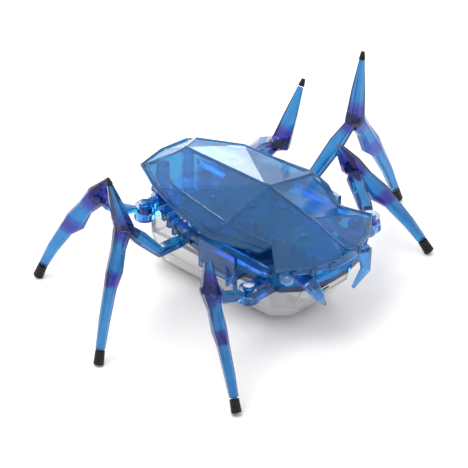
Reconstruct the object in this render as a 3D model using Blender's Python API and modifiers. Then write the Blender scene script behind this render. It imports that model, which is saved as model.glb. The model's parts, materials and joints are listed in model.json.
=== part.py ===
"""Six-legged beetle robot toy: clear belly, faceted shell, gear train and six hinged legs.

Lengths at the top are millimetres and are scaled to metres as each mesh is made.
The head points to -Y, the robot's right side is -X, and the feet stand on z = 0.
"""
import math

import bmesh
import bpy
from mathutils import Matrix, Vector

MM = 0.001
GAP = 0.3                      # air left between neighbouring pieces
BODY_Y = -2.80                 # puts the middle of the stance over the origin

# Shell: ridge, facet border and rim, rear to front, for the half at x > 0.
SHELL_WALL = 0.9
RIB_HALF = 0.45
RIB_LIFT = 0.45
RIB_FOOT = 0.81                # where the raised seam meets the facets
RIDGE = [(0, 17.9, 20.7), (0, -2.1, 21.7), (0, -12.2, 19.9), (0, -20.2, 17.4)]
BORDER = [(4.7, 20.0, 19.3), (8.9, 12.3, 19.4), (10.6, -2.1, 19.2), (9.7, -15.0, 17.2)]
RIM = [(0, 24.0, 17.3), (5.7, 23.4, 17.0), (8.9, 17.1, 17.0), (11.9, 9.0, 17.0), (13.6, 0.1, 17.0),
       (12.6, -4.6, 16.7), (9.9, -9.5, 16.2)]
NOTCH = (8.2, -10.9, 17.6)
HEAD_RIM = [(11.9, -15.3, 16.1), (6.6, -19.4, 16.5), (2.2, -21.3, 17.0)]

# Hips, in the half at x > 0.
FRONT_HIP, MIDDLE_HIP, REAR_HIP = (15.2, -12.0), (8.0, 6.4), (9.5, 18.6)

# Chassis plate, and what stands on it in the half at x > 0.
PLATE_LOW, PLATE_TOP = 10.4, 11.4
PLATE_EDGE = [(4.6, 21.9), (6.8, 16.8), (9.6, 10.4), (11.4, 2.0), (11.4, -5.0), (10.2, -10.4),
              (10.2, -14.6), (6.2, -17.8), (2.0, -18.8)]
LUG_RADIUS, LUG_LOW, LUG_TOP = 1.9, PLATE_LOW - 0.2, PLATE_TOP + 0.05
STRIPS = [                     # line, width, low and top: two hip arms, side ledge and fence
    ([(8.6, -12.4), FRONT_HIP], 2.9, PLATE_LOW - 0.1, PLATE_TOP + 0.02),
    ([(5.0, 18.2), REAR_HIP], 2.9, PLATE_LOW - 0.1, PLATE_TOP + 0.02),
    ([(10.6, 1.6), (10.6, -6.8)], 5.4, PLATE_LOW + 0.1, PLATE_TOP - 0.1),
    ([(13.0, 1.8), (13.0, -6.8)], 0.7, PLATE_LOW - 0.6, 15.6),
]
POST_RADIUS = 1.1
POSTS = [(4.4, -16.2, 16.3), (3.0, 20.2, 17.2)]               # x, y and top
REAR_RIBS = [(7.7, 10.5, 10.4), (6.7, 9.5, 12.6), (5.7, 8.5, 14.8)]     # inner x, outer x and y
RIB_THICK, RIB_TOP = 0.7, 13.3

# Belly housing.
BELLY_LOW, BELLY_WALL = 1.9, 0.8
BELLY_RINGS = [                # half width, front, rear, corner and height
    (7.6, -12.4, 18.2, 2.6, BELLY_LOW),
    (9.6, -14.9, 19.3, 3.4, 5.4),
    (11.0, -16.2, 19.9, 4.4, 9.5),
]
FLOOR_CUT = BELLY_LOW + 2.0    # cutters for the belly's floor end here
SWITCH_SLOT = ((-2.2, -10.9, 0), (2.2, -9.3, FLOOR_CUT))
CELL_OPENING = ((-5.0, -6.2, 0), (5.0, 16.4, FLOOR_CUT))
DOOR_LOW, DOOR_TOP = 0.7, 1.6
DOOR_HALF = (6.6, 13.6)
DOOR_Y = 5.0
DOOR_CHAMFER = 0.15
SCREW_INSET = 1.4
SCREW_HOLE, SCREW_SHANK = 0.8, 0.5
SCREW_SEAT, SEAT_TOP = 1.5, DOOR_LOW + 0.55
SCREW_HEAD, SCREW_LOW, SCREW_TOP = 1.15, DOOR_LOW + 0.05, DOOR_LOW + 0.4

# Button cells, their contacts and the switch.
CELL_RADIUS, CELL_HEIGHT, CELL_LOW = 5.8, 5.4, 3.0
CELL_TOP = CELL_LOW + CELL_HEIGHT
CELL_Y = (11.3, -0.9)
LID_INSET, LID_DEPTH = 1.0, 0.5
CONTACT_THICK = 0.3
CONTACT_HALF, CONTACT_Y, CONTACT_Z = 3.0, 17.6, (4.6, 8.6)
BRIDGE_HALF, BRIDGE_REACH = 3.2, 3.0
FLANGE = ((-2.9, -11.3, 3.0), (0.9, -8.9, 3.3))
SLIDER_NECK = ((-2.0, -10.6, DOOR_LOW + 0.2), (0.0, -9.6, 3.1))
SLIDER_PIVOT = (-1.0, -10.1, 3.0)

# Hubs, pins and drive bars.
PIN_RADIUS, HOLE_RADIUS, HUB_RADIUS = 0.5, 0.85, 1.7
HUB_LOW, HUB_TOP = 11.75, 12.85
HEAD_LOW, HEAD_TOP, HEAD_RADIUS = 13.05, 13.4, 1.0
CRANK_ARM = 3.8                # hip axis to peg
PEG_RADIUS, PEG_LOW, PEG_HOLE = 0.45, 12.0, 0.85
BAR_LOW, BAR_TOP = 13.8, 14.7
BAR_PATH = [(11.4, -13.2), (11.4, 2.0), (11.8, 4.6), (11.3, 7.6), (7.6, 10.4), (5.7, 12.4), (5.7, 19.8)]
BAR_BRANCH = [(11.6, 2.2), (8.4, 4.6)]
BAR_WIDTH, BRANCH_WIDTH = 1.9, 1.8
THROW = 1.05                   # crank pin off the crank gear's axis
STROKE_MIDDLE = 0.63           # the bars rest near one end of their stroke
WINDOW_RADIUS, WINDOW_RIM = 2.8, 3.9
STEP = 0.05                    # keeps joined faces from coinciding
THROUGH = 2.0                  # how far a cutter reaches past what it cuts

# Gear train, all on vertical axles.
MODULE = 0.4
ADDENDUM, DEDENDUM = 0.28, 0.45
AXLE_RADIUS, BORE_RADIUS = 0.45, 0.75
CRANK_X, CRANK_Y = 5.6, 5.9
CRANK_TEETH, WHEEL_ONE, WHEEL_TWO, PINION = 28, 20, 18, 8
MOTOR_XY = (0.0, -10.4)
SECOND_XY = (-2.4, -0.55)
AXLE_LOW, AXLE_TOP = 10.2, 18.3
CRANK_WHEEL, CRANK_BOSS, CRANK_PIN = (15.4, 16.4), (16.3, 17.9), (BAR_LOW + 0.1, 15.6)
CRANK_BORE, BOSS_RADIUS, CRANK_PIN_RADIUS, CRANK_AXLE = 0.6, 2.5, 0.4, 0.35
FIRST_WHEEL, FIRST_PINION = (13.6, 14.4), (14.3, 18.0)
SECOND_WHEEL, SECOND_PINION = (16.9, 17.7), (15.1, 17.0)
MOTOR_PINION, MOTOR_CAN, MOTOR_SHAFT = (13.4, 14.7), (4.2, 9.6), (9.5, 15.4)
MOTOR_RADIUS = 2.4
ROOT_HALF, CREST_HALF = 0.27, 0.11       # half of a tooth's width at its root and at its crest

# Legs: hip, way points of the thigh, knee, crown (spike or peak) and foot.
LEGS = {
    "front_right": {"side": -1, "hip": FRONT_HIP, "way": [(-18.6, -12.2, 12.7), (-21.2, -11.9, 13.6)],
                    "knee": (-24.0, -11.2, 16.4), "crown": (-22.3, -9.2, 20.2), "foot": (-30.9, -24.4, 0)},
    "middle_right": {"side": -1, "hip": MIDDLE_HIP, "way": [(-14.2, 6.9, 12.4), (-18.2, 6.7, 12.9)],
                     "knee": (-26.9, 6.4, 22.4), "crown": (-31.0, 5.9, 34.3), "foot": (-36.6, 3.1, 0)},
    "rear_right": {"side": -1, "hip": REAR_HIP, "way": [(-13.4, 20.4, 12.9)],
                   "knee": (-18.2, 21.6, 17.4), "crown": (-16.6, 20.2, 20.4), "foot": (-25.0, 29.7, 0)},
    "front_left": {"side": 1, "hip": FRONT_HIP, "way": [(17.2, -8.8, 12.7), (18.7, -6.2, 13.4)],
                   "knee": (20.6, -2.2, 16.4), "crown": (19.4, -0.4, 20.0), "foot": (28.0, -14.8, 0)},
    "middle_left": {"side": 1, "hip": MIDDLE_HIP, "way": [(14.2, 5.3, 12.3), (17.8, 3.9, 12.9)],
                    "knee": (25.1, 1.1, 22.4), "crown": (28.3, 2.3, 34.3), "foot": (36.6, 1.0, 0)},
    "rear_left": {"side": 1, "hip": REAR_HIP, "way": [(12.9, 15.2, 12.9)],
                  "knee": (17.0, 11.2, 16.6), "crown": (23.4, 11.8, 26.7), "foot": (25.0, 29.7, 0)},
}
SPIKED = ("middle_right", "middle_left", "rear_left")
NECK_SIZE, NECK_REACH, ARM_WIDTH = (2.0, 0.9), 1.7, 2.2
THIGH_SIZES = [(2.5, 1.9), (2.9, 2.5), (2.0, 1.9), (1.7, 1.6)]     # width and depth, way point to knee
KNEE_SIZE, TENON_LENGTH = (3.7, 3.1), 1.6
SHIN_STEPS = [                 # share of the way down, width, depth and shift towards the body
    (0.16, 2.8, 2.3, 0.1), (0.34, 3.8, 2.4, 0.55), (0.45, 2.5, 2.0, 0.1), (0.68, 2.0, 1.8, 0.0),
]
SHIN_BOW, BOW_RISE = 3.6, 0.5
ANKLE_SIZE, PEG_END_SIZE, PEG_END = (1.6, 1.5), (1.05, 1.0), 1.6
SPIKE_SIZES, PEAK_SIZE = [(1.0, 0.9), (2.5, 2.1)], (1.3, 1.2)
BOOT_LENGTH, BOOT_RADIUS, BOOT_WALL, BOOT_TAPER = 2.4, 0.92, 0.25, 0.92
TIP_LENGTH, TIP_RADIUS, TIP_TAPER = 1.5, 0.6, 0.55

# Head, for the half at x > 0.
MANDIBLE = [(7.0, -15.2, 13.1), (6.9, -18.4, 12.6), (5.8, -19.7, 10.0), (3.5, -18.9, 6.8)]
MANDIBLE_SIZES = [(2.8, 1.6), (2.8, 1.8), (2.0, 1.5), (0.5, 0.5)]
EYE, EYE_RADIUS, EYE_STRETCH = (10.2, -16.1, 14.0), 1.3, (0.9, 1.15, 0.85)


def clear_scene():
    for obj in list(bpy.data.objects):
        bpy.data.objects.remove(obj, do_unlink=True)


def make_collection(name):
    group = bpy.data.collections.new(name)
    bpy.context.scene.collection.children.link(group)
    return group


clear_scene()
PARTS = make_collection("beetle_robot")
CUTTERS = make_collection("cutters")


def make_material(name, colour, roughness, metallic=0.0, transmission=0.0):
    material = bpy.data.materials.new(name)
    material.use_nodes = True
    shader = material.node_tree.nodes["Principled BSDF"]
    shader.inputs["Base Color"].default_value = (*colour, 1.0)
    shader.inputs["Roughness"].default_value = roughness
    shader.inputs["Metallic"].default_value = metallic
    shader.inputs["Transmission Weight"].default_value = transmission
    return material


BLUE = make_material("blue_plastic", (0.05, 0.20, 0.62), 0.12, transmission=0.7)
FROST = make_material("frosted_shell", (0.10, 0.28, 0.66), 0.35, transmission=0.6)
CLEAR = make_material("clear_plastic", (0.88, 0.90, 0.92), 0.08, transmission=0.9)
RUBBER = make_material("black_rubber", (0.02, 0.02, 0.02), 0.75)
STEEL = make_material("steel", (0.62, 0.63, 0.65), 0.28, metallic=1.0)
NYLON = make_material("nylon", (0.80, 0.82, 0.84), 0.45)

ROBOT = bpy.data.objects.new("robot", None)
PARTS.objects.link(ROBOT)
ROBOT.location = (0, BODY_Y * MM, 0)


def pivot(name, x, y, z=HUB_LOW):
    """An empty on a joint's axis, which carries the pieces that turn or slide there."""
    empty = bpy.data.objects.new(name, None)
    PARTS.objects.link(empty)
    empty.parent = ROBOT
    empty.location = Vector((x, y, z)) * MM
    return empty


def add_object(name, bm, material=None, parent=ROBOT, tool=False):
    """Turn a bmesh in millimetres into an object under its pivot; a helper only cuts or joins others."""
    bmesh.ops.recalc_face_normals(bm, faces=bm.faces)
    bmesh.ops.scale(bm, vec=(MM, MM, MM), verts=bm.verts)
    if parent is not ROBOT:
        bmesh.ops.translate(bm, vec=-parent.location, verts=bm.verts)
    mesh = bpy.data.meshes.new(name)
    bm.to_mesh(mesh)
    bm.free()
    obj = bpy.data.objects.new(name, mesh)
    (CUTTERS if tool else PARTS).objects.link(obj)
    obj.parent = parent
    if tool:
        obj.hide_render = True
        obj.display_type = "WIRE"
    else:
        mesh.materials.append(material)
        mesh.shade_smooth()
        mesh.set_sharp_from_angle(angle=math.radians(32))
    return obj


def boolean(obj, tools, operation):
    for tool in tools:
        modifier = obj.modifiers.new(operation.lower(), "BOOLEAN")
        modifier.operation = operation
        modifier.solver = "EXACT"
        modifier.object = tool
    return obj


def bm_cylinder(radius, low, high, xy=(0, 0), segments=24, top_radius=None):
    bm = bmesh.new()
    middle = Matrix.Translation((xy[0], xy[1], (low + high) / 2))
    bmesh.ops.create_cone(bm, cap_ends=True, segments=segments, radius1=radius,
                          radius2=radius if top_radius is None else top_radius,
                          depth=high - low, matrix=middle)
    return bm


def bm_box(low, high):
    bm = bmesh.new()
    low, high = Vector(low), Vector(high)
    size = Matrix.Diagonal((*(high - low), 1.0))
    bmesh.ops.create_cube(bm, size=1.0, matrix=Matrix.Translation((low + high) / 2) @ size)
    return bm


def bm_flat(outlines, low, high):
    """Plate from flat outlines: the first is its edge and the others are holes in it."""
    curve = bpy.data.curves.new("outline", "CURVE")
    curve.dimensions = "2D"
    curve.fill_mode = "BOTH"
    curve.extrude = (high - low) / 2
    for points in outlines:
        spline = curve.splines.new("POLY")
        spline.points.add(len(points) - 1)
        for point, (x, y) in zip(spline.points, points):
            point.co = (x, y, 0, 1)
        spline.use_cyclic_u = True
    holder = bpy.data.objects.new("outline", curve)
    CUTTERS.objects.link(holder)
    bpy.context.view_layer.update()
    mesh = bpy.data.meshes.new_from_object(holder.evaluated_get(bpy.context.evaluated_depsgraph_get()))
    bm = bmesh.new()
    bm.from_mesh(mesh)
    bmesh.ops.remove_doubles(bm, verts=bm.verts, dist=0.001)
    bmesh.ops.translate(bm, vec=(0, 0, (low + high) / 2), verts=bm.verts)
    bpy.data.objects.remove(holder)
    bpy.data.meshes.remove(mesh)
    return bm


def bm_loft(rings, closed=True):
    """Skin a row of rings that all have the same number of points."""
    bm = bmesh.new()
    rows = [[bm.verts.new(point) for point in ring] for ring in rings]
    count = len(rows[0])
    for lower, upper in zip(rows, rows[1:]):
        for i in range(count):
            j = (i + 1) % count
            bm.faces.new((lower[i], lower[j], upper[j], upper[i]))
    bm.faces.new(list(reversed(rows[0])))
    if closed:
        bm.faces.new(rows[-1])
    return bm


def circle(radius, xy=(0, 0), count=24):
    return [(xy[0] + radius * math.cos(2 * math.pi * i / count),
             xy[1] + radius * math.sin(2 * math.pi * i / count)) for i in range(count)]


def facet_ring(centre, along, across, width, depth):
    """Eight-sided section: a rectangle, width by depth, with its corners cut off."""
    along = along.normalized()
    side = (across - along * across.dot(along)).normalized()
    face = along.cross(side)
    corners = [(1, 0.45), (0.5, 1), (-0.5, 1), (-1, 0.45), (-1, -0.45), (-0.5, -1), (0.5, -1), (1, -0.45)]
    return [centre + side * (width / 2 * a) + face * (depth / 2 * b) for a, b in corners]


def bm_limb(path, sizes, across):
    """Faceted limb along a path, with a width and depth at each of its points."""
    rings = []
    for i, point in enumerate(path):
        along = path[min(i + 1, len(path) - 1)] - path[max(i - 1, 0)]
        rings.append(facet_ring(point, along, across, *sizes[i]))
    return bm_loft(rings)


def bm_strip(path, width, low, high):
    """Flat bar of even width along a bent line, with mitred bends."""
    left, right = [], []
    points = [Vector(point) for point in path]
    for i, point in enumerate(points):
        before = (point - points[i - 1]).normalized() if i else (points[1] - point).normalized()
        after = (points[i + 1] - point).normalized() if i + 1 < len(points) else before
        mean = (before + after).normalized()
        normal = Vector((-mean.y, mean.x))
        reach = width / 2 / max(0.4, mean.dot(after))
        left.append(point + normal * reach)
        right.append(point - normal * reach)
    return bm_flat([left + right[::-1]], low, high)


def mirrored(points, side):
    return [(side * point[0], *point[1:]) for point in points]


# ---------------------------------------------------------------- shell

def make_shell():
    """Open half surface with flat facets and a raised seam, mirrored and thickened."""
    bm = bmesh.new()

    def seam(point):
        x, y, z = point
        profile = ((RIB_FOOT, 0), (RIB_HALF, RIB_LIFT), (-RIB_HALF, RIB_LIFT), (-RIB_FOOT, 0))
        return [bm.verts.new((x, y + dy, z + dz)) for dy, dz in profile]

    ridge = {i: bm.verts.new(RIDGE[i]) for i in (0, 2, 3)}
    border = {i: bm.verts.new(BORDER[i]) for i in (0, 1, 3)}
    rim = [bm.verts.new(point) for point in RIM]
    notch = bm.verts.new(NOTCH)
    head = [bm.verts.new(point) for point in HEAD_RIM]
    top, end = seam(RIDGE[1]), seam(BORDER[2])
    faces = [(ridge[0], rim[0], rim[1]), (ridge[0], rim[1], border[0]),
             (ridge[0], border[0], border[1], end[0], top[0]),
             (border[0], rim[1], rim[2], border[1]), (border[1], rim[2], rim[3]),
             (border[1], rim[3], rim[4], end[0]), (end[3], rim[4], rim[5]),
             (end[3], rim[5], rim[6], notch), (top[3], end[3], notch, ridge[2]),
             (ridge[2], notch, border[3]), (notch, head[0], border[3]),
             (border[3], head[0], head[1]), (ridge[2], border[3], head[1], head[2]),
             (ridge[2], head[2], ridge[3])]
    for i in range(3):
        faces.append((top[i], end[i], end[i + 1], top[i + 1]))
        faces.append((end[i], rim[4], end[i + 1]))
    for corners in faces:
        bm.faces.new(corners)
    bmesh.ops.triangulate(bm, faces=[face for face in bm.faces if len(face.verts) > 4])
    shell = add_object("top_shell", bm, FROST)
    mirror = shell.modifiers.new("mirror", "MIRROR")
    mirror.merge_threshold = 0.01 * MM
    wall = shell.modifiers.new("wall", "SOLIDIFY")
    wall.thickness = SHELL_WALL * MM
    wall.offset = -1
    return shell


# ---------------------------------------------------------------- chassis, belly and what they hold

def make_chassis():
    plate = bm_flat([PLATE_EDGE + mirrored(PLATE_EDGE, -1)[::-1]], PLATE_LOW, PLATE_TOP)
    chassis = add_object("chassis_frame", plate, BLUE)
    extra, holes = [], []
    for side in (-1, 1):
        for hip in (FRONT_HIP, MIDDLE_HIP, REAR_HIP):
            spot = (side * hip[0], hip[1])
            extra.append(bm_cylinder(LUG_RADIUS, LUG_LOW, LUG_TOP, spot))
            holes.append((HOLE_RADIUS, spot))
        extra += [bm_strip(mirrored(line, side), *sizes) for line, *sizes in STRIPS]
        extra += [rear_rib(side, *spot) for spot in REAR_RIBS]
        extra += [bm_cylinder(POST_RADIUS, PLATE_LOW + 0.3, top, (side * x, y), 12) for x, y, top in POSTS]
        holes.append((BORE_RADIUS, (side * CRANK_X, CRANK_Y)))
    holes += [(BORE_RADIUS + 0.2, spot) for spot in (MOTOR_XY, SECOND_XY, first_gear_xy())]
    tools = [add_object("chassis_joined", bm, tool=True) for bm in extra]
    boolean(chassis, tools, "UNION")
    bores = [bm_cylinder(radius, PLATE_LOW - THROUGH, PLATE_TOP + THROUGH, spot) for radius, spot in holes]
    tools = [add_object("chassis_hole", bm, tool=True) for bm in bores]
    boolean(chassis, tools, "DIFFERENCE")


def rear_rib(side, inner, outer, y):
    """Upright rib behind the middle leg, low enough for the drive bar to pass over."""
    ends = sorted((side * inner, side * outer))
    return bm_box((ends[0], y, PLATE_LOW + 0.2), (ends[1], y + RIB_THICK, RIB_TOP))


def belly_ring(half_x, front, rear, corner, z):
    """Eight-sided outline with its corners cut back."""
    return [(half_x, rear - corner, z), (half_x - corner, rear, z), (corner - half_x, rear, z),
            (-half_x, rear - corner, z), (-half_x, front + corner, z), (corner - half_x, front, z),
            (half_x - corner, front, z), (half_x, front + corner, z)]


def make_belly():
    rings = [belly_ring(*ring) for ring in BELLY_RINGS]
    belly = add_object("belly_housing", bm_loft(rings, closed=False), CLEAR)
    wall = belly.modifiers.new("wall", "SOLIDIFY")
    wall.thickness = BELLY_WALL * MM
    wall.offset = -1
    tools = [add_object("belly_opening", bm_box(*box), tool=True) for box in (SWITCH_SLOT, CELL_OPENING)]
    for spot in door_screw_spots():
        hole = bm_cylinder(SCREW_HOLE, 0, FLOOR_CUT, spot, 16)
        tools.append(add_object("belly_hole", hole, tool=True))
    boolean(belly, tools, "DIFFERENCE")


def door_screw_spots():
    reach = DOOR_HALF[1] - SCREW_INSET
    return [(0, DOOR_Y - reach), (0, DOOR_Y + reach)]


def make_door():
    low = (-DOOR_HALF[0], DOOR_Y - DOOR_HALF[1], DOOR_LOW)
    high = (DOOR_HALF[0], DOOR_Y + DOOR_HALF[1], DOOR_TOP)
    door = add_object("battery_door", bm_box(low, high), CLEAR)
    tools = []
    for index, spot in enumerate(door_screw_spots(), 1):
        for radius, top in ((SCREW_HOLE, DOOR_TOP + THROUGH), (SCREW_SEAT, SEAT_TOP)):
            hole = bm_cylinder(radius, 0, top, spot, 20)
            tools.append(add_object("door_hole", hole, tool=True))
        head = bm_cylinder(SCREW_HEAD, SCREW_LOW, SCREW_TOP, spot, 20)
        screw = add_object(f"door_screw_{index}", head, STEEL)
        shank = bm_cylinder(SCREW_SHANK, SCREW_LOW + 0.15, CELL_LOW - GAP, spot, 12)
        shank = add_object("door_shank", shank, tool=True)
        boolean(screw, [shank], "UNION")
    boolean(door, tools, "DIFFERENCE")
    bevel = door.modifiers.new("edge", "BEVEL")
    bevel.width = DOOR_CHAMFER * MM
    bevel.segments = 1


def make_cells():
    for name, y in zip(("rear", "front"), CELL_Y):
        shoulder = CELL_TOP - LID_DEPTH
        can = bm_cylinder(CELL_RADIUS, CELL_LOW, shoulder, (0, y), 32)
        can = add_object(f"button_cell_{name}", can, STEEL)
        lid = bm_cylinder(CELL_RADIUS - LID_INSET, shoulder - 0.2, CELL_TOP, (0, y), 32)
        boolean(can, [add_object("cell_lid", lid, tool=True)], "UNION")
    ends = [(-CONTACT_HALF, CONTACT_Y), (CONTACT_HALF, CONTACT_Y)]
    add_object("contact_rear", bm_strip(ends, CONTACT_THICK, *CONTACT_Z), STEEL)
    low = (-BRIDGE_HALF, CELL_Y[1] - BRIDGE_REACH, CELL_TOP + GAP)
    high = (BRIDGE_HALF, CELL_Y[0] + BRIDGE_REACH, CELL_TOP + GAP + CONTACT_THICK)
    add_object("contact_bridge", bm_box(low, high), STEEL)


def make_switch():
    slider = add_object("switch_slider", bm_box(*FLANGE), RUBBER, pivot("switch_slide", *SLIDER_PIVOT))
    neck = add_object("slider_neck", bm_box(*SLIDER_NECK), parent=slider.parent, tool=True)
    boolean(slider, [neck], "UNION")


# ---------------------------------------------------------------- gear train

def meet(first, second, first_reach, second_reach):
    """Point at the two given distances from two centres, on the right of the line between them."""
    a, b = Vector(first), Vector(second)
    span = (b - a).length
    along = (first_reach ** 2 - second_reach ** 2 + span ** 2) / (2 * span)
    rise = math.sqrt(first_reach ** 2 - along ** 2)
    direction = (b - a) / span
    return tuple(a + direction * along + Vector((direction.y, -direction.x)) * rise)


def centre_distance(teeth_a, teeth_b):
    return MODULE * (teeth_a + teeth_b) / 2


def first_gear_xy():
    return meet(MOTOR_XY, SECOND_XY, centre_distance(PINION, WHEEL_ONE), centre_distance(PINION, WHEEL_TWO))


def meshed_phase(centre, phase, teeth, other, other_teeth):
    """Angle of a tooth on the other gear that drops into a gap of this one."""
    step, other_step = 2 * math.pi / teeth, 2 * math.pi / other_teeth
    toward = math.atan2(other[1] - centre[1], other[0] - centre[0])
    part = ((toward - phase) / step) % 1.0
    return toward + math.pi + (part - 0.5) * other_step


def bm_gear(centre, teeth, phase, low, high, bore):
    pitch = MODULE * teeth / 2
    outline = []
    for i in range(teeth):
        middle = phase + i * 2 * math.pi / teeth
        for radius, half in ((pitch - DEDENDUM, -ROOT_HALF), (pitch + ADDENDUM, -CREST_HALF),
                             (pitch + ADDENDUM, CREST_HALF), (pitch - DEDENDUM, ROOT_HALF)):
            angle = middle + half / pitch
            outline.append((centre[0] + radius * math.cos(angle), centre[1] + radius * math.sin(angle)))
    return bm_flat([outline, circle(bore, centre, 16)], low, high)


def make_gears():
    right, left = (-CRANK_X, CRANK_Y), (CRANK_X, CRANK_Y)
    one = first_gear_xy()
    left_phase = meshed_phase(right, 0.0, CRANK_TEETH, left, CRANK_TEETH)
    two_phase = meshed_phase(right, 0.0, CRANK_TEETH, SECOND_XY, PINION)
    one_phase = meshed_phase(SECOND_XY, two_phase, WHEEL_TWO, one, PINION)
    motor_phase = meshed_phase(one, one_phase, WHEEL_ONE, MOTOR_XY, PINION)
    for name, centre, phase, side in (("right", right, 0.0, -1), ("left", left, left_phase, 1)):
        axis = pivot(f"crank_{name}", *centre)
        wheel = bm_gear(centre, CRANK_TEETH, phase, *CRANK_WHEEL, CRANK_BORE)
        gear = add_object(f"crank_gear_{name}", wheel, NYLON, axis)
        boss = bm_flat([circle(BOSS_RADIUS, centre, 24), circle(CRANK_BORE, centre, 16)], *CRANK_BOSS)
        pin = bm_cylinder(CRANK_PIN_RADIUS, *CRANK_PIN, (centre[0], centre[1] - side * THROW), 12)
        boolean(gear, [add_object("crank_part", bm, parent=axis, tool=True) for bm in (boss, pin)], "UNION")
        add_object(f"crank_axle_{name}", bm_cylinder(CRANK_AXLE, AXLE_LOW, AXLE_TOP, centre, 12), STEEL)
    compound = (("first_gear", one, one_phase, WHEEL_ONE, FIRST_WHEEL, FIRST_PINION),
                ("second_gear", SECOND_XY, two_phase, WHEEL_TWO, SECOND_WHEEL, SECOND_PINION))
    for name, centre, phase, teeth, wheel_z, pinion_z in compound:
        axis = pivot(f"{name}_axis", *centre)
        gear = add_object(name, bm_gear(centre, teeth, phase, *wheel_z, BORE_RADIUS), NYLON, axis)
        pinion = bm_gear(centre, PINION, phase, *pinion_z, BORE_RADIUS)
        boolean(gear, [add_object("pinion_part", pinion, parent=axis, tool=True)], "UNION")
        axle = bm_cylinder(AXLE_RADIUS, AXLE_LOW, AXLE_TOP, centre, 12)
        add_object(name.replace("gear", "axle"), axle, STEEL)
    axis = pivot("motor_axis", *MOTOR_XY)
    pinion = bm_gear(MOTOR_XY, PINION, motor_phase, *MOTOR_PINION, BORE_RADIUS)
    add_object("motor_pinion", pinion, NYLON, axis)
    motor = add_object("motor_can", bm_cylinder(MOTOR_RADIUS, *MOTOR_CAN, MOTOR_XY, 32), STEEL)
    shaft = bm_cylinder(AXLE_RADIUS, *MOTOR_SHAFT, MOTOR_XY, 12)
    boolean(motor, [add_object("motor_shaft", shaft, tool=True)], "UNION")


# ---------------------------------------------------------------- drive bars

def peg_spot(side, hip):
    """The middle leg's peg is outboard of its hip and the others' are inboard."""
    outward = 1 if hip is MIDDLE_HIP else -1
    return (side * (hip[0] + outward * CRANK_ARM), hip[1])


def make_bar(name, side):
    axis = pivot(f"bar_{name}", side * CRANK_X, CRANK_Y, BAR_LOW)
    strip = bm_strip(mirrored(BAR_PATH, side), BAR_WIDTH, BAR_LOW, BAR_TOP)
    bar = add_object(f"drive_bar_{name}", strip, BLUE, axis)
    branch = bm_strip(mirrored(BAR_BRANCH, side), BRANCH_WIDTH, BAR_LOW + STEP, BAR_TOP - STEP)
    centre = (side * CRANK_X, CRANK_Y - side * STROKE_MIDDLE)
    extra = [branch, bm_cylinder(WINDOW_RIM, BAR_LOW - STEP, BAR_TOP + STEP, centre, 32)]
    for hip in (FRONT_HIP, MIDDLE_HIP, REAR_HIP):
        extra.append(bm_cylinder(PEG_RADIUS, PEG_LOW, BAR_LOW + 0.3, peg_spot(side, hip), 12))
    boolean(bar, [add_object("bar_part", bm, parent=axis, tool=True) for bm in extra], "UNION")
    window = bm_cylinder(WINDOW_RADIUS, BAR_LOW - THROUGH, BAR_TOP + THROUGH, centre, 32)
    boolean(bar, [add_object("bar_window", window, parent=axis, tool=True)], "DIFFERENCE")


# ---------------------------------------------------------------- legs

def make_thigh(name, leg, axis):
    side, hip = leg["side"], leg["hip"]
    spot, peg = (side * hip[0], hip[1]), peg_spot(side, hip)
    hub = bm_cylinder(HUB_RADIUS, HUB_LOW, HUB_TOP, spot)
    thigh = add_object(f"{name}_thigh", hub, BLUE, axis)
    middle = (HUB_LOW + HUB_TOP) / 2
    start = Vector((*spot, middle))
    way = [Vector(point) for point in leg["way"]]
    outward = Vector((way[0].x - start.x, way[0].y - start.y, 0)).normalized()
    knee = Vector(leg["knee"])
    path = [start, start + outward * NECK_REACH] + way
    path += [way[-1].lerp(knee, 0.55), knee - (knee - way[-1]).normalized() * TENON_LENGTH, knee]
    sizes = [NECK_SIZE, NECK_SIZE] + THIGH_SIZES[:1] * len(way) + THIGH_SIZES[1:]
    across = Vector((0, 0, 1)).cross(knee - start)
    extra = [bm_limb(path, sizes, across),
             bm_strip([spot, peg], ARM_WIDTH, HUB_LOW + 0.03, HUB_TOP - 0.03),
             bm_cylinder(HUB_RADIUS - 0.2, HUB_LOW + STEP, HUB_TOP - STEP, peg, 20)]
    boolean(thigh, [add_object("thigh_part", bm, parent=axis, tool=True) for bm in extra], "UNION")
    holes = [bm_cylinder(HOLE_RADIUS, HUB_LOW - THROUGH / 2, HUB_TOP + THROUGH, spot, 20),
             bm_cylinder(PEG_HOLE, HUB_LOW - THROUGH * 0.75, HUB_TOP + THROUGH, peg, 20)]
    boolean(thigh, [add_object("thigh_hole", bm, parent=axis, tool=True) for bm in holes], "DIFFERENCE")
    return path[-4:]


def shin_path(leg):
    """Bowed line from knee to ankle, and the direction it ends in."""
    knee, foot = Vector(leg["knee"]), Vector(leg["foot"])
    outward = Vector((foot.x - knee.x, foot.y - knee.y, 0)).normalized()

    def at(t):
        return knee.lerp(foot, t) + (outward + Vector((0, 0, BOW_RISE))) * (SHIN_BOW * t * (1 - t))

    down = (foot - at(0.9)).normalized()
    lift = BOOT_RADIUS * math.sqrt(1 - down.z ** 2) / -down.z
    foot = foot - down * lift
    ankle = foot - down * (BOOT_LENGTH - PEG_END)
    return knee, ankle, foot, down, outward, at


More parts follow.
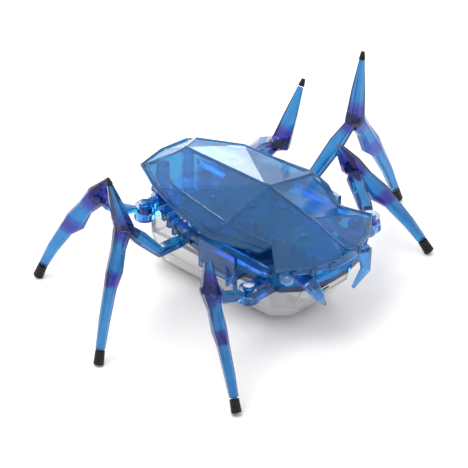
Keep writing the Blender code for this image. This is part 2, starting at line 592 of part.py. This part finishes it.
def make_shin(name, leg, axis, tenon):
    knee, ankle, foot, down, outward, at = shin_path(leg)
    crown = Vector(leg["crown"])
    neck = foot - down * (BOOT_LENGTH + GAP)
    path = [at(t) - outward * inset for t, _, _, inset in SHIN_STEPS] + [neck, neck + down * 0.1, ankle]
    sizes = [(width, depth) for _, width, depth, _ in SHIN_STEPS] + [ANKLE_SIZE, PEG_END_SIZE, PEG_END_SIZE]
    if name in SPIKED:
        upper = [crown - (crown - knee).normalized() * TIP_LENGTH, knee.lerp(crown, 0.45)]
        upper_sizes = SPIKE_SIZES
    else:
        upper = [crown]
        upper_sizes = [PEAK_SIZE]
    path = upper + [knee] + path
    sizes = upper_sizes + [KNEE_SIZE] + sizes
    shin = add_object(f"{name}_shin", bm_limb(path, sizes, outward), BLUE, axis)
    across = Vector((0, 0, 1)).cross(knee - Vector((leg["side"] * leg["hip"][0], leg["hip"][1], 12.3)))
    beyond = tenon[-1] + (tenon[-1] - tenon[-2]).normalized() * GAP
    slack = [tenon[0], tenon[1], tenon[2], beyond]
    slack_sizes = [(width + 2 * GAP, depth + 2 * GAP) for width, depth in THIGH_SIZES]
    socket = add_object("knee_socket", bm_limb(slack, slack_sizes, across), parent=axis, tool=True)
    boolean(shin, [socket], "DIFFERENCE")
    if name in SPIKED:
        make_tip(name, knee, crown, axis)


def axis_cylinder(start, end, radius, end_radius, segments=16):
    """Cylinder or cone between two points."""
    length = (end - start).length
    turn = (end - start).to_track_quat("Z", "Y").to_matrix().to_4x4()
    bm = bmesh.new()
    bmesh.ops.create_cone(bm, cap_ends=True, segments=segments, radius1=radius, radius2=end_radius,
                          depth=length, matrix=Matrix.Translation((start + end) / 2) @ turn)
    return bm


def make_tip(name, knee, crown, axis):
    along = (crown - knee).normalized()
    base = crown - along * (TIP_LENGTH - GAP / 2)
    cone = axis_cylinder(base, crown, TIP_RADIUS, TIP_RADIUS * TIP_TAPER, 12)
    add_object(f"{name}_spike_tip", cone, RUBBER, axis)


def make_boot(name, leg, axis):
    _, ankle, foot, down, _, _ = shin_path(leg)
    top = foot - down * BOOT_LENGTH
    sleeve = axis_cylinder(top, foot, BOOT_RADIUS * BOOT_TAPER, BOOT_RADIUS)
    boot = add_object(f"{name}_boot", sleeve, RUBBER, axis)
    hole = axis_cylinder(top - down, ankle + down * GAP, BOOT_RADIUS - BOOT_WALL, BOOT_RADIUS - BOOT_WALL)
    boolean(boot, [add_object("boot_hole", hole, parent=axis, tool=True)], "DIFFERENCE")


def make_leg(name, leg):
    side, hip = leg["side"], leg["hip"]
    axis = pivot(f"{name}_hip", side * hip[0], hip[1])
    tenon = make_thigh(name, leg, axis)
    make_shin(name, leg, axis, tenon)
    make_boot(name, leg, axis)
    spot = (side * hip[0], hip[1])
    pin = bm_cylinder(PIN_RADIUS, PLATE_LOW - 0.5, HEAD_TOP - 0.1, spot, 16)
    pin = add_object(f"{name}_hip_pin", pin, BLUE)
    head = bm_cylinder(HEAD_RADIUS, HEAD_LOW, HEAD_TOP, spot, 16)
    boolean(pin, [add_object("pin_head", head, tool=True)], "UNION")


# ---------------------------------------------------------------- head

def make_head():
    for name, side in (("right", -1), ("left", 1)):
        path = [Vector(point) for point in mirrored(MANDIBLE, side)]
        add_object(f"mandible_{name}", bm_limb(path, MANDIBLE_SIZES, Vector((1, 0, 0))), BLUE)
        eye = bmesh.new()
        bmesh.ops.create_uvsphere(eye, u_segments=20, v_segments=12, radius=EYE_RADIUS)
        stretch = Matrix.Diagonal((*EYE_STRETCH, 1.0))
        place = Matrix.Translation(mirrored([EYE], side)[0])
        bmesh.ops.transform(eye, matrix=place @ stretch, verts=eye.verts)
        add_object(f"eye_lens_{name}", eye, CLEAR)


def main():
    make_shell()
    make_chassis()
    make_belly()
    make_door()
    make_cells()
    make_switch()
    make_gears()
    for name, side in (("right", -1), ("left", 1)):
        make_bar(name, side)
    for name, leg in LEGS.items():
        make_leg(name, leg)
    make_head()


main()
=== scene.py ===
"""Looks of the six-legged beetle robot: tinted clear plastic, frosted shell, studio light and camera."""
import json
import math

import bmesh
import bpy
from mathutils import Matrix, Vector


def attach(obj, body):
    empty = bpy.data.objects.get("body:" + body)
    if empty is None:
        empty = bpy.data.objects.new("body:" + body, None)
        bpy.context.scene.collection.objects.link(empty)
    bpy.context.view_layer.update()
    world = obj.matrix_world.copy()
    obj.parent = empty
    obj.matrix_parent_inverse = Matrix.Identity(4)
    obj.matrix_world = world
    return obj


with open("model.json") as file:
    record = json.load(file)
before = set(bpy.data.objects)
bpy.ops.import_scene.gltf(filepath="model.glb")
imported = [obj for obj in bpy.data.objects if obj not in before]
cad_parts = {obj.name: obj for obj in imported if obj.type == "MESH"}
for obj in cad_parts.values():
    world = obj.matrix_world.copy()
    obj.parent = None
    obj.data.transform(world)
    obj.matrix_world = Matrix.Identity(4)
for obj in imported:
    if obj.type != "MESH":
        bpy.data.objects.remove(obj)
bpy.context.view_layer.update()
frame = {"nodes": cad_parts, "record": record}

MM = 0.001
NODES = frame["nodes"]
# The robot's two sides and their sign along x.
SIDES = (("right", -1), ("left", 1))

# The robot's lines, as points in millimetres: x to its left, y to its rear, z up. BODY_Y shifts them
# all along y. Knees, feet, ridge and belly seam are given whole, the rest for the left half alone.
BODY_Y = -2.80
KNEES = {
    "front_right": (-24.0, -11.2, 16.4),
    "middle_right": (-26.9, 6.4, 22.4),
    "rear_right": (-18.2, 21.6, 17.4),
    "front_left": (20.6, -2.2, 16.4),
    "middle_left": (25.1, 1.1, 22.4),
    "rear_left": (17.0, 11.2, 16.6),
}
FEET = {
    "front_right": (-30.9, -24.4, 0),
    "middle_right": (-36.6, 3.1, 0),
    "rear_right": (-25.0, 29.7, 0),
    "front_left": (28.0, -14.8, 0),
    "middle_left": (36.6, 1.0, 0),
    "rear_left": (25.0, 29.7, 0),
}
RIDGE = [(0, 17.9, 20.7), (0, -2.1, 21.7), (0, -12.2, 19.9), (0, -20.2, 17.4)]
BORDER = [(4.7, 20.0, 19.3), (8.9, 12.3, 19.4), (10.6, -2.1, 19.2), (9.7, -15.0, 17.2)]
RIM = [(0, 24.0, 17.3), (5.7, 23.4, 17.0), (8.9, 17.1, 17.0), (11.9, 9.0, 17.0), (13.6, 0.1, 17.0),
       (12.6, -4.6, 16.7), (9.9, -9.5, 16.2)]
NOTCH = (8.2, -10.9, 17.6)
HEAD_RIM = [(11.9, -15.3, 16.1), (6.6, -19.4, 16.5), (2.2, -21.3, 17.0)]
HEAD_WALL = [(9.6, -16.2, 15.7), (6.3, -18.6, 16.0), (2.1, -20.4, 16.4)]
HEAD_LOBES = [(9.4, -17.2, 15.9), (6.6, -19.2, 16.1), (3.4, -20.6, 16.4)]
GUSSET = [(13.1, -4.8, 12.6), (14.1, -6.0, 9.9), (13.9, -7.2, 12.3), (14.8, -8.5, 9.9),
          (15.0, -10.3, 11.0)]
BELLY_SLOTS = [(1.9, -15.53, 7.4), (1.2, -15.22, 6.4)]
BELLY_SEAM = [(9.62, 15.9, 5.4), (6.2, 19.32, 5.4), (-6.2, 19.32, 5.4), (-9.62, 15.9, 5.4),
              (-9.62, -11.5, 5.4), (-6.2, -14.92, 5.4), (6.2, -14.92, 5.4), (9.62, -11.5, 5.4),
              (9.62, 15.9, 5.4)]

# The rim's bead and the band lie inside RIM: each of its points is moved this many millimetres
# towards the point of the same place in RIM_INWARD. The band leaves the first point out.
RIM_INWARD = (RIDGE[0], BORDER[0], BORDER[1], BORDER[1], BORDER[2], BORDER[2], NOTCH)
RIM_INSET = 0.42
BAND_INSETS = (1.5, 1.5, 1.5, 1.5, 1.9, 1.3)

# Radii in millimetres of the beads, struts, slots and seam, and the sides that their tubes have.
RIM_RADIUS, BAND_RADIUS, FOLD_RADIUS, BROW_RADIUS, CREST_RADIUS = 0.32, 0.26, 0.22, 0.32, 0.24
GUSSET_RADIUS, LOBE_RADIUS, SLOT_RADIUS, SEAM_RADIUS = 0.46, 0.42, 0.17, 0.13
ROUND_SIDES, THIN_SIDES = 8, 6

# Knee pins, the head's wall and its lobes, in millimetres. The core's share is of the pin's radius.
PIN_RADIUS, PIN_HALF, PIN_CORE_STEP = 0.75, 1.62, 0.12
PIN_CORE_SHARE, PIN_SEGMENTS = 0.6, 20
HEAD_WALL_LOW, HEAD_WALL_THICKNESS = 14.5, 0.6
LOBE_LEAN, LOBE_DROP = 0.5, 1.7

# Shins bow outward, and BOW_UP times as much upward. The collar sits at BAND_SHARE of the way down.
SHIN_BOW, BOW_UP, BAND_SHARE = 3.6, 0.5, 0.38
# Reach and blur in millimetres of the painted shade at a knee and at a collar, where light passes through
# thicker plastic, and the noise that makes it ragged.
KNEE_PAINTED_SHADE, COLLAR_PAINTED_SHADE = (2.5, 1.3), (1.0, 0.5)
RAGGED_SIZE, RAGGED_DETAIL, RAGGED_SHARE = 1.3, 2, 0.35

# Widths of the rounded edges in millimetres, by a word in the node's name.
SOFT = {"shin": 0.22, "thigh": 0.14, "top_shell": 0.22, "mandible": 0.25, "belly_housing": 0.25,
        "chassis_frame": 0.10, "drive_bar": 0.10, "boot": 0.12}
SOFT_SEGMENTS = 2
# In degrees: a node's edges are rounded above the first, an extra piece's are sharp above the second.
SOFT_ANGLE, SHARP_ANGLE = 28, 40

# Base colours: each material moves between the two of its pair. The indigo is painted shade for knees and
# collars, where light passes through thicker plastic.
BODY_BLUE = ((0.12, 0.42, 0.84), (0.08, 0.33, 0.76))
LEG_BLUE = ((0.027, 0.24, 0.54), (0.018, 0.18, 0.45))
SHELL_BLUE = ((0.030, 0.29, 0.60), (0.022, 0.25, 0.55))
EYE_BLUE = ((0.30, 0.60, 0.90), (0.22, 0.50, 0.85))
CLEAR = ((0.99, 0.99, 0.985), (0.96, 0.965, 0.97))
RUBBER_BLACK = ((0.004, 0.004, 0.005), (0.012, 0.011, 0.011))
STEEL_GREY = ((0.60, 0.61, 0.63), (0.74, 0.74, 0.74))
NYLON_WHITE = ((0.86, 0.90, 0.93), (0.74, 0.80, 0.86))
FLOOR_WHITE = ((0.965, 0.955, 0.95), (0.98, 0.972, 0.968))
PAINTED_SHADE_INDIGO = (0.040, 0.005, 0.27)

# How the plastics tint light on its way through: colour and density.
BLUE_ABSORPTION = ((0.50, 0.45, 0.85), 60)
SHELL_ABSORPTION = ((0.45, 0.50, 0.88), 60)
CLEAR_ABSORPTION = ((0.86, 0.90, 0.92), 10)

# Most of the noise lies in this range, so this much of it is stretched over a pair of values.
NOISE_RANGE = (0.35, 0.65)
# A Mix node has sockets of the same name for each data type. These are the ones for colours.
MIX_FIRST, MIX_SECOND, MIX_RESULT = 6, 7, 2

# Floor, light and camera, in metres, watts and degrees, with the lens and sensor in millimetres.
# VIEW_WIDTH is what the picture spans at the robot.
FLOOR_SIZE = 2.0
WORLD_COLOUR, WORLD_STRENGTH = (1.0, 0.985, 0.97, 1), 0.97
LIGHTS = (
    {"name": "key", "direction": (-0.5, 0.2, 1.4), "distance": 0.55, "size": 0.36, "power": 1.2,
     "colour": (1.0, 0.98, 0.96)},
    {"name": "fill", "direction": (0.9, 0.9, 0.7), "distance": 0.60, "size": 0.30, "power": 1.6,
     "colour": (1.0, 1.0, 1.0)},
)
VIEW_AZIMUTH, VIEW_ELEVATION = -46.0, 34.0
VIEW_TARGET = (-0.00406, -0.00054, 0.01168)
VIEW_WIDTH = 0.0810
LENS, SENSOR, CLIP_START = 500.0, 36.0, 0.01


# ---------------------------------------------------------------- materials

class Shader:
    """A material under construction: one Principled shader and the textures that feed it."""

    def __init__(self, name):
        self.material = bpy.data.materials.new(name)
        self.material.use_nodes = True
        self.tree = self.material.node_tree
        self.shader = self.tree.nodes["Principled BSDF"]
        self.output = self.tree.nodes["Material Output"]
        self.place = self.tree.nodes.new("ShaderNodeTexCoord").outputs["Object"]
        self.normal = None

    def set(self, **values):
        for key, value in values.items():
            self.shader.inputs[key.replace("_", " ")].default_value = value

    def link(self, source, target):
        self.tree.links.new(source, target)

    def noise(self, size_mm, detail, distortion=0.0, stretch=None):
        """Noise with features of about this size."""
        node = self.tree.nodes.new("ShaderNodeTexNoise")
        node.inputs["Scale"].default_value = 1 / (size_mm * MM)
        node.inputs["Detail"].default_value = detail
        node.inputs["Distortion"].default_value = distortion
        place = self.place
        if stretch:
            mapping = self.tree.nodes.new("ShaderNodeMapping")
            mapping.inputs["Scale"].default_value = stretch
            self.link(place, mapping.inputs["Vector"])
            place = mapping.outputs["Vector"]
        self.link(place, node.inputs["Vector"])
        return node.outputs["Fac"]

    def spread(self, factor, low, high, start=NOISE_RANGE[0], end=NOISE_RANGE[1]):
        """From low, where the factor is start or less, to high, where it is end or more."""
        node = self.tree.nodes.new("ShaderNodeMapRange")
        for key, value in (("From Min", start), ("From Max", end), ("To Min", low), ("To Max", high)):
            node.inputs[key].default_value = value
        self.link(factor, node.inputs["Value"])
        return node.outputs["Result"]

    def colours(self, factor, pair):
        ramp = self.tree.nodes.new("ShaderNodeValToRGB")
        for element, position, colour in zip(ramp.color_ramp.elements, NOISE_RANGE, pair):
            element.position = position
            element.color = (*colour, 1)
        self.link(factor, ramp.inputs["Fac"])
        self.link(ramp.outputs["Color"], self.shader.inputs["Base Color"])

    def mix(self, factor, first, second):
        """Blend of two colours, each a constant or a socket."""
        node = self.tree.nodes.new("ShaderNodeMix")
        node.data_type = "RGBA"
        self.link(factor, node.inputs["Factor"])
        for socket, value in ((node.inputs[MIX_FIRST], first), (node.inputs[MIX_SECOND], second)):
            if isinstance(value, tuple):
                socket.default_value = (*value, 1)
            else:
                self.link(value, socket)
        return node.outputs[MIX_RESULT]

    def math(self, operation, first, second):
        """One operation on two numbers, each a constant or a socket."""
        node = self.tree.nodes.new("ShaderNodeMath")
        node.operation = operation
        for socket, value in zip(node.inputs, (first, second)):
            if isinstance(value, (int, float)):
                socket.default_value = value
            else:
                self.link(value, socket)
        return node.outputs[0]

    def ball(self, point, reach, blur):
        """One within reach of a point of the node's own space, fading to nought."""
        node = self.tree.nodes.new("ShaderNodeVectorMath")
        node.operation = "DISTANCE"
        self.link(self.place, node.inputs[0])
        node.inputs[1].default_value = point
        return self.spread(node.outputs["Value"], 1.0, 0.0, reach * MM, (reach + blur) * MM)

    def slab(self, point, axis, half, blur):
        """One within a flat slab across an axis of the node's own space, fading to nought."""
        node = self.tree.nodes.new("ShaderNodeVectorMath")
        node.operation = "DOT_PRODUCT"
        self.link(self.place, node.inputs[0])
        node.inputs[1].default_value = axis
        away = self.math("SUBTRACT", node.outputs["Value"], Vector(point).dot(axis))
        away = self.math("ABSOLUTE", away, 0.0)
        return self.spread(away, 1.0, 0.0, half * MM, (half + blur) * MM)

    def roughness(self, factor, low, high):
        self.link(self.spread(factor, low, high), self.shader.inputs["Roughness"])

    def bump(self, factor, depth_mm, strength):
        """One more layer of relief, over the layers that are there already."""
        node = self.tree.nodes.new("ShaderNodeBump")
        node.inputs["Distance"].default_value = depth_mm * MM
        node.inputs["Strength"].default_value = strength
        self.link(factor, node.inputs["Height"])
        if self.normal:
            self.link(self.normal, node.inputs["Normal"])
        self.normal = node.outputs["Normal"]
        self.link(self.normal, self.shader.inputs["Normal"])

    def absorb(self, colour, density):
        node = self.tree.nodes.new("ShaderNodeVolumeAbsorption")
        node.inputs["Color"].default_value = (*colour, 1)
        node.inputs["Density"].default_value = density
        self.link(node.outputs["Volume"], self.output.inputs["Volume"])


def blue_plastic(name="blue_plastic", pair=BODY_BLUE, dark=None):
    """Injection-moulded clear blue. dark, if given, makes a factor that is one where it turns to indigo
    painted shade.
    """
    look = Shader(name)
    look.set(Transmission_Weight=0.94, IOR=1.44, Coat_Weight=0.08, Coat_Roughness=0.06)
    shade = look.mix(look.spread(look.noise(size_mm=2.6, detail=3), low=0.0, high=1.0), *pair)
    # Painted shade: indigo over the blue where the mask is one.
    if dark:
        shade = look.mix(dark(look), shade, PAINTED_SHADE_INDIGO)
    look.link(shade, look.shader.inputs["Base Color"])
    look.roughness(look.noise(size_mm=0.9, detail=5), low=0.06, high=0.16)
    look.bump(look.noise(size_mm=1.6, detail=2), depth_mm=0.03, strength=0.5)
    look.bump(look.noise(size_mm=0.12, detail=4), depth_mm=0.004, strength=0.4)
    look.absorb(*BLUE_ABSORPTION)
    return look.material


def frosted_shell():
    """Satin blue shell, a little cloudy, so what lies under it shows only softly."""
    look = Shader("frosted_shell")
    look.set(Transmission_Weight=0.82, IOR=1.36, Coat_Weight=0.28, Coat_Roughness=0.24)
    look.colours(look.noise(size_mm=6.0, detail=2, distortion=0.4), SHELL_BLUE)
    look.roughness(look.noise(size_mm=1.4, detail=5), low=0.07, high=0.14)
    look.bump(look.noise(size_mm=3.5, detail=2), depth_mm=0.03, strength=0.4)
    look.bump(look.noise(size_mm=0.14, detail=3), depth_mm=0.002, strength=0.3)
    look.absorb(*SHELL_ABSORPTION)
    return look.material


def clear_plastic(name="clear_plastic", pair=CLEAR):
    look = Shader(name)
    look.set(Transmission_Weight=0.76, IOR=1.40, Coat_Weight=0.5, Coat_Roughness=0.05)
    look.colours(look.noise(size_mm=3.0, detail=3), pair)
    look.roughness(look.noise(size_mm=1.1, detail=5), low=0.04, high=0.12)
    look.bump(look.noise(size_mm=2.5, detail=2), depth_mm=0.04, strength=0.5)
    look.bump(look.noise(size_mm=0.15, detail=4), depth_mm=0.004, strength=0.4)
    look.absorb(*CLEAR_ABSORPTION)
    return look.material


def black_rubber():
    look = Shader("black_rubber")
    look.set(IOR=1.5, Specular_IOR_Level=0.22)
    look.colours(look.noise(size_mm=0.5, detail=5), RUBBER_BLACK)
    look.roughness(look.noise(size_mm=0.3, detail=5), low=0.34, high=0.55)
    look.bump(look.noise(size_mm=0.18, detail=5), depth_mm=0.02, strength=0.6)
    look.bump(look.noise(size_mm=0.8, detail=2), depth_mm=0.03, strength=0.3)
    return look.material


def steel():
    look = Shader("steel")
    look.set(Metallic=1.0)
    look.colours(look.noise(size_mm=0.7, detail=5), STEEL_GREY)
    look.roughness(look.noise(size_mm=0.35, detail=5, stretch=(1, 1, 6)), low=0.18, high=0.38)
    look.bump(look.noise(size_mm=0.12, detail=4, stretch=(1, 1, 8)), depth_mm=0.004, strength=0.5)
    return look.material


def nylon():
    look = Shader("nylon")
    look.set(IOR=1.53, Subsurface_Weight=0.15, Subsurface_Scale=0.6 * MM)
    look.colours(look.noise(size_mm=1.2, detail=4), NYLON_WHITE)
    look.roughness(look.noise(size_mm=0.5, detail=5), low=0.32, high=0.50)
    look.bump(look.noise(size_mm=0.2, detail=4), depth_mm=0.006, strength=0.5)
    return look.material


def studio_floor():
    look = Shader("studio_floor")
    look.set(Specular_IOR_Level=0.1)
    look.colours(look.noise(size_mm=60.0, detail=2), FLOOR_WHITE)
    look.roughness(look.noise(size_mm=20.0, detail=2), low=0.8, high=0.9)
    return look.material


MATERIALS = {make.__name__: make()
             for make in (blue_plastic, frosted_shell, clear_plastic, black_rubber, steel, nylon)}


def paint(obj, slot):
    obj.data.materials.clear()
    obj.data.materials.append(MATERIALS[slot])


# ---------------------------------------------------------------- CAD nodes

def soften(obj, width_mm):
    """Rounds a node's sharp edges so that they catch the light."""
    bevel = obj.modifiers.new("soft_edges", "BEVEL")
    bevel.width = width_mm * MM
    bevel.segments = SOFT_SEGMENTS
    bevel.limit_method = "ANGLE"
    bevel.angle_limit = math.radians(SOFT_ANGLE)
    bevel.harden_normals = True


def shifted(point, side=1):
    """A point of the body, in millimetres, as a place of the scene in metres; side -1 mirrors it."""
    return Vector((side * point[0], point[1] + BODY_Y, point[2])) * MM


def shifted_line(points, side=1):
    return [shifted(point, side) for point in points]


def band(leg):
    """Where a shin's collar sits, and the direction from knee to foot."""
    knee, foot = Vector(KNEES[leg]), Vector(FEET[leg])
    outward = Vector((foot.x - knee.x, foot.y - knee.y, 0)).normalized()
    bow = (outward + Vector((0, 0, BOW_UP))) * (SHIN_BOW * BAND_SHARE * (1 - BAND_SHARE))
    return knee.lerp(foot, BAND_SHARE) + bow, (foot - knee).normalized()


def leg_painted_shade(node, leg):
    """Painted shade on the knee and collar, where light passes through thicker plastic, in the space of one
    leg's node.
    """
    inward = node.matrix_world.inverted()
    knee = inward @ shifted(KNEES[leg])
    point, axis = band(leg)
    collar = inward @ shifted(point)

    # Painted shade mask: one near the knee and across the collar, where light passes through thicker
    # plastic, broken up by noise.
    def dark(look):
        ragged = look.math("MULTIPLY", look.noise(RAGGED_SIZE, RAGGED_DETAIL), RAGGED_SHARE)
        both = look.math("MAXIMUM", look.ball(knee, *KNEE_PAINTED_SHADE), look.slab(collar, axis, *COLLAR_PAINTED_SHADE))
        return look.math("SUBTRACT", both, look.math("MULTIPLY", ragged, both))

    return dark


def finish_nodes():
    """Looks and rounded edges of the CAD's nodes. Thighs, shins and eye lenses have a look of their own;
    thighs and shins get painted shade at knee and collar.
    """
    for part in frame["record"]["subparts"]:
        name = part["node"]
        node = NODES[name]
        paint(node, part["material_slot"])
        for leg in KNEES:
            if name in (leg + "_shin", leg + "_thigh"):
                node.data.materials[0] = blue_plastic(name + "_plastic", LEG_BLUE, leg_painted_shade(node, leg))
        if name.startswith("eye_lens"):
            node.data.materials[0] = clear_plastic(name + "_plastic", EYE_BLUE)
        for key, width in SOFT.items():
            if key in name:
                soften(node, width)


# ---------------------------------------------------------------- extra pieces

def add_piece(name, bm, slot, body="root"):
    bmesh.ops.recalc_face_normals(bm, faces=bm.faces)
    mesh = bpy.data.meshes.new(name)
    bm.to_mesh(mesh)
    bm.free()
    mesh.shade_smooth()
    mesh.set_sharp_from_angle(angle=math.radians(SHARP_ANGLE))
    obj = bpy.data.objects.new(name, mesh)
    bpy.context.scene.collection.objects.link(obj)
    paint(obj, slot)
    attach(obj, body)


def skin(bm, rings):
    """Faces from each ring of corners to the next, and over the first and last ring."""
    for first, second in zip(rings, rings[1:]):
        for k in range(len(first)):
            after = (k + 1) % len(first)
            bm.faces.new((first[k], first[after], second[after], second[k]))
    bm.faces.new(rings[0][::-1])
    bm.faces.new(rings[-1])
    return bm


def heading(points, i):
    """From the point before this one to the point after it; at an end, the point itself stands in."""
    return points[min(i + 1, len(points) - 1)] - points[max(i - 1, 0)]


def tube(points, radius, sides=ROUND_SIDES):
    """Round bead along a line of points, with its ends closed."""
    bm = bmesh.new()
    rings = []
    for i, point in enumerate(points):
        along = heading(points, i).normalized()
        across = along.cross(Vector((0, 0, 1))).normalized()
        upward = across.cross(along)
        rings.append([bm.verts.new(point + (across * math.cos(a) + upward * math.sin(a)) * radius * MM)
                      for a in (2 * math.pi * k / sides for k in range(sides))])
    return skin(bm, rings)


def wall(line, low, thickness):
    """Upright wall under a line of points, down to one height."""
    bm = bmesh.new()
    rings = []
    for i, point in enumerate(line):
        along = heading(line, i)
        across = Vector((along.y, -along.x, 0)).normalized() * (thickness / 2 * MM)
        foot = Vector((point.x, point.y, low * MM))
        corners = (point + across, point - across, foot - across, foot + across)
        rings.append([bm.verts.new(corner) for corner in corners])
    return skin(bm, rings)


def pin(centre, axis):
    """Short pin along an axis, with a thinner core that stands out of both ends."""
    bm = bmesh.new()
    turn = axis.to_track_quat("Z", "Y").to_matrix().to_4x4()
    for reach, size in ((PIN_HALF, PIN_RADIUS), (PIN_HALF + PIN_CORE_STEP, PIN_RADIUS * PIN_CORE_SHARE)):
        bmesh.ops.create_cone(bm, cap_ends=True, segments=PIN_SEGMENTS, radius1=size * MM, radius2=size * MM,
                              depth=2 * reach * MM, matrix=Matrix.Translation(centre) @ turn)
    return bm


def toward(start, end, reach):
    """The point at this many millimetres from one point towards another."""
    start, end = Vector(start), Vector(end)
    return start + (end - start).normalized() * reach


def add_bead(name, points, side, radius):
    add_piece(name, tube(shifted_line(points, side), radius), "frosted_shell")


def shell_trim():
    """Beads on the shell: its rim, the band inside it, the folds, the brow over the head and the crest."""
    rim = [toward(point, other, RIM_INSET) for point, other in zip(RIM, RIM_INWARD)]
    rim = [Vector((-x, y, z)) for x, y, z in rim[:0:-1]] + rim
    add_bead("shell_rim_bead", rim, 1, RIM_RADIUS)
    inner = [toward(point, other, inset)
             for point, other, inset in zip(RIM[1:], RIM_INWARD[1:], BAND_INSETS)]
    for name, side in SIDES:
        add_bead(f"shell_band_{name}", inner, side, BAND_RADIUS)
        add_bead(f"shell_fold_{name}", [*BORDER[:3], NOTCH], side, FOLD_RADIUS)
        add_bead(f"head_brow_{name}", [NOTCH, *HEAD_RIM], side, BROW_RADIUS)
    add_bead("shell_crest_bead", RIDGE, 1, CREST_RADIUS)


def zigzag_gussets():
    """Bent struts from each side wall to the front hip, beside where the legs swing."""
    for name, side in SIDES:
        strut = tube(shifted_line(GUSSET, side), GUSSET_RADIUS, THIN_SIDES)
        add_piece(f"front_gusset_{name}", strut, "blue_plastic")


def knee_pins():
    """A pin through each knee, which moves with its leg."""
    for leg in KNEES:
        foot, knee = Vector(FEET[leg]), Vector(KNEES[leg])
        across = Vector((knee.y - foot.y, foot.x - knee.x, 0)).normalized()
        add_piece(f"{leg}_knee_pin", pin(shifted(KNEES[leg]), across), "blue_plastic", "leg_" + leg)


def head_front():
    """Front wall under the shell's brow, with short ribs that part it into lobes."""
    points = shifted_line(HEAD_WALL, -1) + shifted_line(HEAD_WALL[::-1])
    add_piece("head_front_wall", wall(points, HEAD_WALL_LOW, HEAD_WALL_THICKNESS), "frosted_shell")
    for name, side in SIDES:
        for i, (x, y, z) in enumerate(HEAD_LOBES):
            drop = [(x, y, z), (x, y + LOBE_LEAN, z - LOBE_DROP)]
            add_bead(f"head_lobe_{name}_{i + 1}", drop, side, LOBE_RADIUS)


def belly_marks():
    """Two small dark slots low on the belly's front and a thin parting line around the belly."""
    for i, (reach, y, z) in enumerate(BELLY_SLOTS):
        slot = tube(shifted_line([(-reach, y, z), (reach, y, z)]), SLOT_RADIUS)
        add_piece(f"belly_vent_{i + 1}", slot, "black_rubber")
    add_piece("belly_seam", tube(shifted_line(BELLY_SEAM), SEAM_RADIUS, THIN_SIDES), "clear_plastic")


# ---------------------------------------------------------------- floor, light and camera

def build_stage():
    bm = bmesh.new()
    bmesh.ops.create_grid(bm, x_segments=1, y_segments=1, size=FLOOR_SIZE)
    mesh = bpy.data.meshes.new("studio_floor")
    bm.to_mesh(mesh)
    bm.free()
    floor = bpy.data.objects.new("studio_floor", mesh)
    bpy.context.scene.collection.objects.link(floor)
    mesh.materials.append(studio_floor())


def area_light(name, direction, distance, size, power, colour):
    """Disk light at this distance, pointed at the origin."""
    data = bpy.data.lights.new(name, "AREA")
    data.shape = "DISK"
    data.size = size
    data.energy = power
    data.color = colour
    light = bpy.data.objects.new(name, data)
    light.location = Vector(direction).normalized() * distance
    light.rotation_euler = (-light.location).to_track_quat("-Z", "Y").to_euler()
    bpy.context.scene.collection.objects.link(light)


def build_light():
    world = bpy.data.worlds.new("studio")
    world.use_nodes = True
    background = world.node_tree.nodes["Background"]
    background.inputs["Color"].default_value = WORLD_COLOUR
    background.inputs["Strength"].default_value = WORLD_STRENGTH
    bpy.context.scene.world = world
    for light in LIGHTS:
        area_light(**light)


def build_camera():
    data = bpy.data.cameras.new("view")
    data.lens = LENS
    data.sensor_width = SENSOR
    data.clip_start = CLIP_START
    camera = bpy.data.objects.new("view", data)
    azimuth, elevation = math.radians(VIEW_AZIMUTH), math.radians(VIEW_ELEVATION)
    away = Vector((math.sin(azimuth) * math.cos(elevation), -math.cos(azimuth) * math.cos(elevation),
                   math.sin(elevation)))
    camera.location = Vector(VIEW_TARGET) + away * (VIEW_WIDTH * LENS / SENSOR)
    camera.rotation_euler = (-away).to_track_quat("-Z", "Y").to_euler()
    bpy.context.scene.collection.objects.link(camera)
    bpy.context.scene.camera = camera


finish_nodes()
shell_trim()
zigzag_gussets()
knee_pins()
head_front()
belly_marks()
build_stage()
build_light()
build_camera()
bpy.context.scene.view_settings.view_transform = "Standard"
